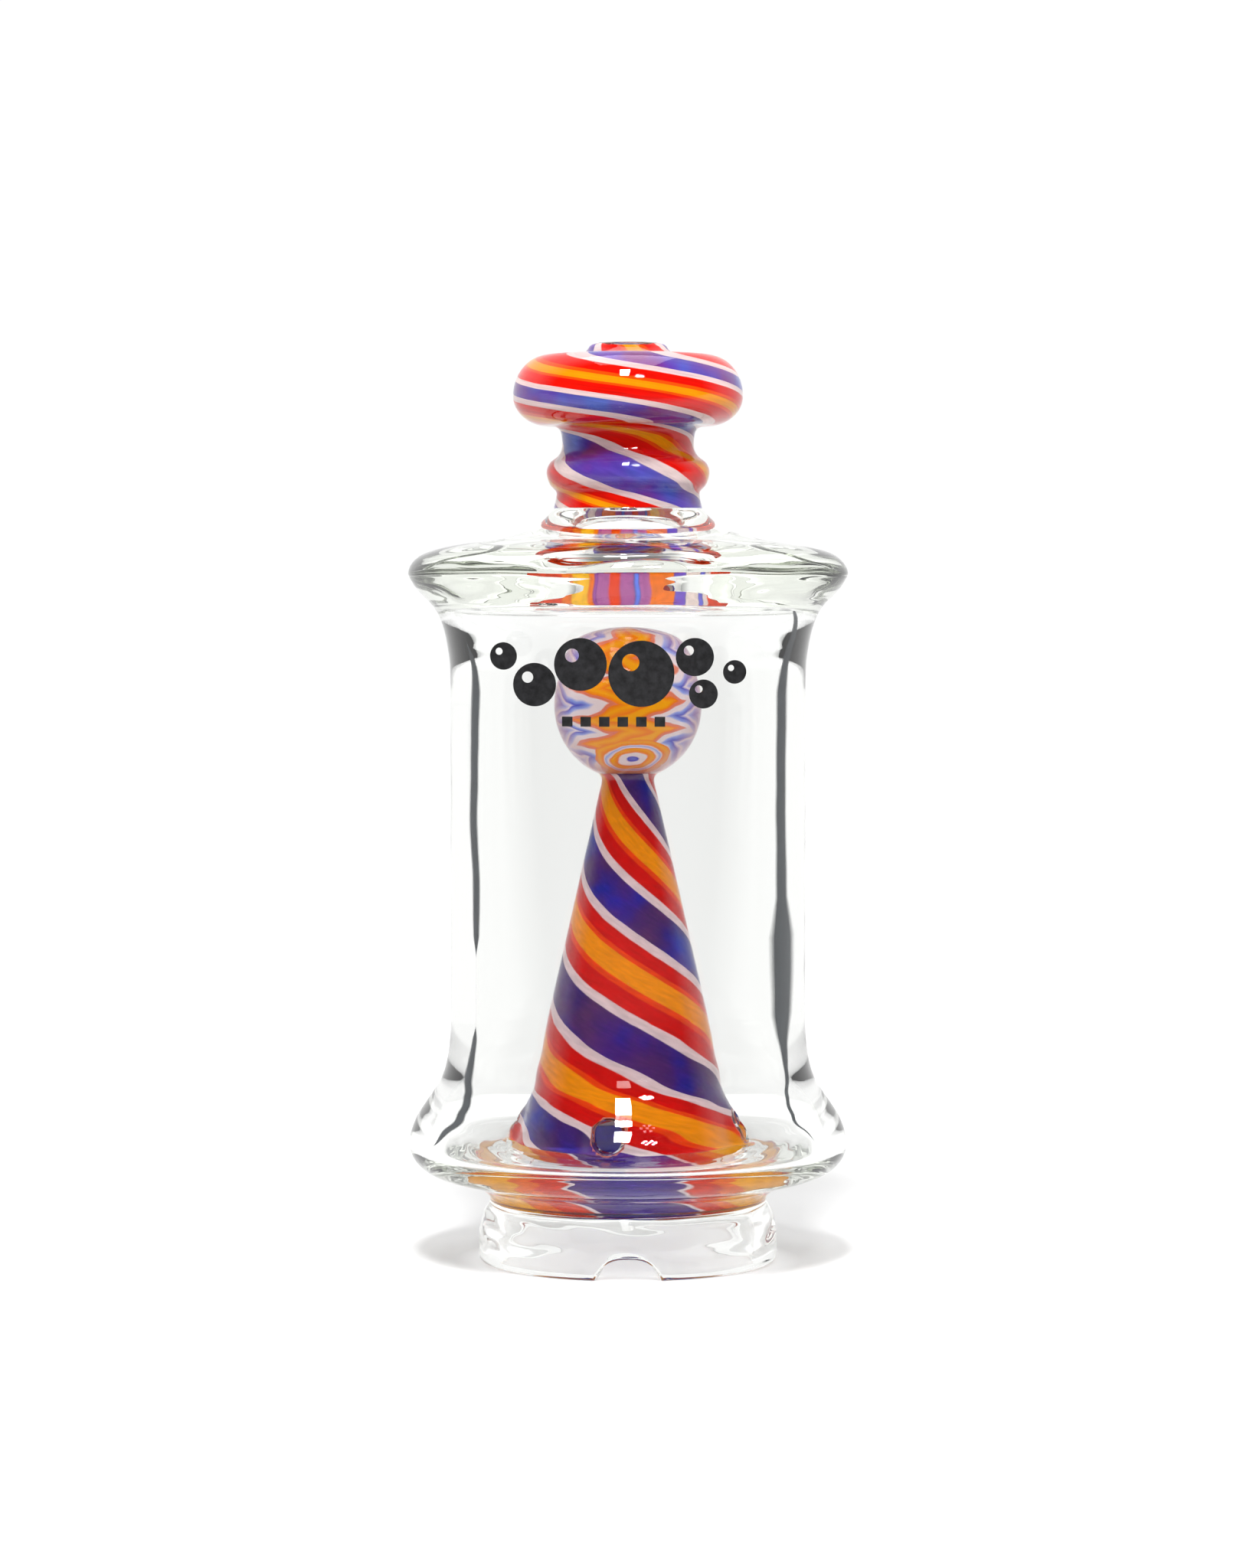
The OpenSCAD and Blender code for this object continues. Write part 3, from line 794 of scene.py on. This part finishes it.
def stage_white(name, under, near, beyond):
    """Pale paper that glows: the light caught `under` the foot, then `near` it, and `beyond` far away.

    What is mirrored in the glass finds its front half dark, as the photographer's side is.
    """
    s = paint(name)
    at, x, y, z = s.place()
    away = s.from_axis(x, y)
    grain = s.ramp(s.noise(at, 30.0, 2.0, 0.5), [(0.3, grey(0.40)), (0.7, grey(0.42))])
    grain = s.blend(s.ramp(away, [(0.22, BLACK), (0.45, WHITE)]), grain, BLACK)
    paper = s.node("ShaderNodeBsdfDiffuse", {"Color": grain})
    glow = s.ramp(away, [(0.0, grey(under)), (0.020, grey(under)), (0.027, grey(near)), (0.10, grey(near)),
                         (0.45, grey(beyond))])
    light = s.node("ShaderNodeEmission", {"Color": glow, "Strength": 1.0})
    white = s.node("ShaderNodeAddShader", {0: paper, 1: light})
    front = s.math("MULTIPLY_ADD", y, -6.0, -0.4, clamp=True)
    dark = s.node("ShaderNodeBsdfDiffuse", {"Color": grey(0.06)})
    s.owner.cycles.emission_sampling = "NONE"
    hidden = s.math("MULTIPLY", s.mirrored(), front)
    return s.finish(s.node("ShaderNodeMixShader", {0: hidden, 1: white, 2: dark}))


# ---- pieces


def give(piece, material, slot, *nodes):
    """A piece's material and body, and the CAD nodes that it stands for; slot is not used."""
    piece.data.materials.append(material)
    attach(piece, BODY)
    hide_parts(*nodes)


def radius_at(line, z):
    """The radius of a line at a height; the line runs one way in z."""
    for (r0, z0), (r1, z1) in zip(line, line[1:]):
        if min(z0, z1) <= z <= max(z0, z1) and z0 != z1:
            return r0 + (r1 - r0) * (z - z0) / (z1 - z0)
    return 0.0


def mark_inner_wall(glass):
    """Marks the can's inside wall and both its flares, where the painted dark lines may show."""
    low, high = 19.4, 103.4
    wall = [p for p in chamber() if low <= p[1] <= high]
    values = glass.data.attributes.new("inner_wall", "FLOAT", "POINT")
    for vertex, value in zip(glass.data.vertices, values.data):
        z = vertex.co.z / MM
        if low < z < high:
            radius = math.hypot(vertex.co.x, vertex.co.y) / MM
            value.value = abs(radius - radius_at(wall, z)) < 0.3


def make_glass():
    """All the clear glass as one fused, hollow body: outside, passage, chamber, cone, ball, foot."""
    line = join(
        ball_outside()[::-1], cone_outside()[::-1], chamber()[::-1], passage()[::-1],
        neck_outside()[::-1], clear_outside()[::-1], foot_inside(), cone_inside(),
    )
    glass = lathe("clear_glass", line, shape=flame)
    cut(glass, hole_cutters())
    give(glass, clear_glass("clear borosilicate"), "clear_glass", "foot_ring", "waist_collar", "floor_plate",
         "lower_flange", "can_wall", "upper_flange", "shoulder", "neck_casing", "neck_liner",
         "bulb_casing", "cone_liner", "ball_collar", "ball_shell", "hole_lips")
    mark_inner_wall(glass)
    shade(glass, True)


def shell(outside, thickness):
    """A closed thin wall that lies on the left-hand side of a line."""
    return join(outside, inset(outside, thickness)[::-1])


def make_cone():
    """The cone's canes, and their end in the collar under the ball."""
    tip = (cone_r(CONE_TIP) - CANE_DEPTH, CONE_TIP)
    wall = split_line((CONE_R0 - CANE_DEPTH, FLOOR_Z), tip, 96)
    wall += smooth([tip, (3.9, 75.6), (3.95, 76.5), (4.3, 77.4)], 3)[1:]
    cone = lathe("cone_stripes", shell(wall, CANE_WALL), closed=True, shape=flame, marks={"turn": cone_turn})
    cut(cone, hole_cutters(grow=CANE_DEPTH))
    material = striped("cone canes", CONE_STRIPES, CONE_COLOURS, CONE_COBALT, 0.5, srgb(126, 138, 250), 0.03)
    give(cone, material, "blue_glass", "cone_blue_canes", "cone_white_canes", "cone_red_canes",
         "cone_orange_canes", "cone_yellow_canes")


def make_skirt():
    """The end of the striped tube below the can's floor."""
    line = split_line((cone_r(SKIRT_Z) - CANE_DEPTH, SKIRT_Z + 0.6),
                      (CONE_R0 - CANE_DEPTH, FLOOR_Z - 0.02), 12)
    skirt = lathe("skirt_stripes", shell(line, CANE_WALL), closed=True, marks={"turn": skirt_turn})
    material = striped("skirt canes", SKIRT_STRIPES, SKIRT_COLOURS, SKIRT_COBALT, 0.3, srgb(120, 120, 236))
    give(skirt, material, "blue_glass")


def make_mouthpiece():
    """The canes under the clear skin of the neck and the bulb."""
    outside = [p for p in inset(neck_outside(), MOUTH_SKIN) if p[1] > NECK_Z - 0.1]
    piece = lathe("mouthpiece_stripes", shell(outside, MOUTH_CANES), closed=True,
                  marks={"turn": mouth_turn, "spread": mouth_spread})
    material = striped("mouthpiece canes", MOUTH_STRIPES, MOUTH_COLOURS, MOUTH_COBALT, 0.4,
                       srgb(150, 150, 250), 0.18)
    give(piece, material, "red_glass", "mouthpiece_blue_canes", "mouthpiece_white_canes",
         "mouthpiece_red_canes", "mouthpiece_orange_canes", "mouthpiece_yellow_canes", "mouth_lip")


def make_root_ring():
    """The end of the neck's striped tube, sealed in the flange, with crisp corners."""
    low, high = ROOT_Z
    line = [(ROOT_R[0], low), (ROOT_R[1], low), (ROOT_R[1], high), (ROOT_R[0], high)]
    turn = (ROOT_STRIPES[0][1] / 2 - 90) / 180
    ring = lathe("root_ring_stripes", line, closed=True, marks={"turn": lambda r, z: turn})
    shade(ring, False)
    material = striped("root canes", ROOT_STRIPES, ROOT_COLOURS, MOUTH_COBALT, 0.0, srgb(150, 150, 248))
    give(ring, material, "striped_glass", "neck_root_ring")


def make_ball():
    """The patterned lining inside the ball."""
    radius = BALL_R - BALL_SKIN
    outer = arc(0, BALL_Z, radius, radius, -89.9, 89.9, 60)
    line = [(0, BALL_Z - radius)] + outer[1:-1] + [(0, BALL_Z + radius)]
    lining = lathe("ball_lining_pattern", line, segments=128)
    give(lining, wigwag("wig-wag lining"), "ball_lining_glass", "ball_lining")


def make_print():
    """The CAD's own printed mark, in enamel."""
    mark = next(o for o in bpy.data.objects if o.name == "printed_mark")
    mark.data.materials.clear()
    mark.data.materials.append(enamel("black enamel"))


# ---- studio


def make_stage():
    """A round sheet of paper under the object."""
    sides = 64
    bm = bmesh.new()
    rings = [[bm.verts.new((0, 0, 0))]]
    for radius in (0.1, 0.4, 1.2, 4.0):
        rings.append([bm.verts.new((radius * math.cos(a), radius * math.sin(a), 0))
                      for a in (2 * math.pi * k / sides for k in range(sides))])
    for low, high in zip(rings, rings[1:]):
        for k in range(sides):
            n = (k + 1) % sides
            corners = [low[k % len(low)], high[k], high[n], low[n % len(low)]]
            bm.faces.new(list(dict.fromkeys(corners)))
    floor = to_piece("floor", bm)
    floor.data.materials.append(stage_white("floor paper", 0.62, 0.27, 1.04))


def make_world():
    """A white tent. Mirror-like reflections see it dark on the front, where the photographer's side is."""
    world = bpy.data.worlds.new("studio")
    bpy.context.scene.world = world
    world.cycles.sampling_method = "NONE"
    s = Shader(world, "ShaderNodeOutputWorld")
    around = s.node("ShaderNodeTexCoord").outputs["Generated"]
    direction = s.node("ShaderNodeSeparateXYZ", {0: around}).outputs
    tent = s.ramp(direction[2], [(0.0, grey(1)), (0.36, grey(1)), (0.46, grey(0.75)), (0.62, grey(0.6)),
                                 (0.78, grey(0.95)), (1.0, grey(1))])
    depth = s.math("MULTIPLY_ADD", direction[1], 0.5, 0.5)
    front = s.ramp(depth, [(0.0, grey(0.05)), (0.42, grey(0.05)), (0.66, grey(1)), (1.0, grey(1))])
    path = s.node("ShaderNodeLightPath").outputs
    on_canes = s.math("MULTIPLY", path["Transmission Depth"], path["Diffuse Depth"], clamp=True)
    strength = s.math("MULTIPLY_ADD", on_canes, 0.3, 1.04)
    white = s.node("ShaderNodeBackground", {"Color": tent, "Strength": strength})
    flags = s.node("ShaderNodeBackground", {"Color": front, "Strength": 1.0})
    s.finish(s.node("ShaderNodeMixShader", {0: s.mirrored(), 1: white, 2: flags}))


def add_light(name, at, target, width, height, power):
    light = bpy.data.lights.new(name, "AREA")
    light.shape = "RECTANGLE"
    light.size, light.size_y = width, height
    light.energy = power
    lamp = bpy.data.objects.new(name, light)
    lamp.location = at
    lamp.rotation_euler = (Vector(target) - Vector(at)).to_track_quat("-Z", "Y").to_euler()
    bpy.context.scene.collection.objects.link(lamp)


LIT_POINT = (0, 0, 0.12)
LIGHT_DISTANCE = 0.8


def from_front(turn, rise):
    """A place seen from the lit point: degrees to the right of the front, degrees up."""
    turn, rise = math.radians(turn), math.radians(rise)
    flat = LIGHT_DISTANCE * math.cos(rise)
    return (flat * math.sin(turn), -flat * math.cos(turn), LIT_POINT[2] + LIGHT_DISTANCE * math.sin(rise))


def make_lights():
    """A tall softbox, a ring of six small lamps round a seventh, and a wide light overhead."""
    add_light("softbox", from_front(-4, 48), LIT_POINT, 0.11, 0.24, 11.0)
    for i in range(7):
        across, up = (0, 0) if i == 6 else (4 * math.cos(i * math.pi / 3), 3 * math.sin(i * math.pi / 3))
        add_light(f"spot_{i}", from_front(13 + across, 38 + up), LIT_POINT, 0.022, 0.022, 0.35)
    add_light("overhead", (0.0, 0.05, 0.80), (0, 0, 0), 0.5, 0.5, 2.5)


def make_camera():
    eye = Vector((-0.00024, -0.685, 0.1037))
    aim = Vector((-0.00024, 0, 0.0752))
    camera = bpy.data.cameras.new("camera")
    camera.lens = 100.0
    camera.sensor_width = 36.0
    camera.clip_start = 0.01
    rig = bpy.data.objects.new("camera", camera)
    rig.location = eye
    rig.rotation_euler = (aim - eye).to_track_quat("-Z", "Y").to_euler()
    bpy.context.scene.collection.objects.link(rig)
    bpy.context.scene.camera = rig


def set_quality():
    scene = bpy.context.scene
    cycles = scene.cycles
    cycles.max_bounces = 40
    cycles.transmission_bounces = 36
    cycles.transparent_max_bounces = 48
    cycles.diffuse_bounces = 4
    cycles.glossy_bounces = 12
    cycles.volume_bounces = 0
    cycles.sample_clamp_indirect = 8.0
    cycles.use_denoising = True
    cycles.caustics_refractive = True
    cycles.caustics_reflective = True
    cycles.blur_glossy = 0.3
    scene.view_settings.view_transform = "Standard"
    scene.view_settings.look = "None"


make_glass()
make_cone()
make_skirt()
make_mouthpiece()
make_root_ring()
make_ball()
make_print()
make_stage()
make_world()
make_lights()
make_camera()
set_quality()
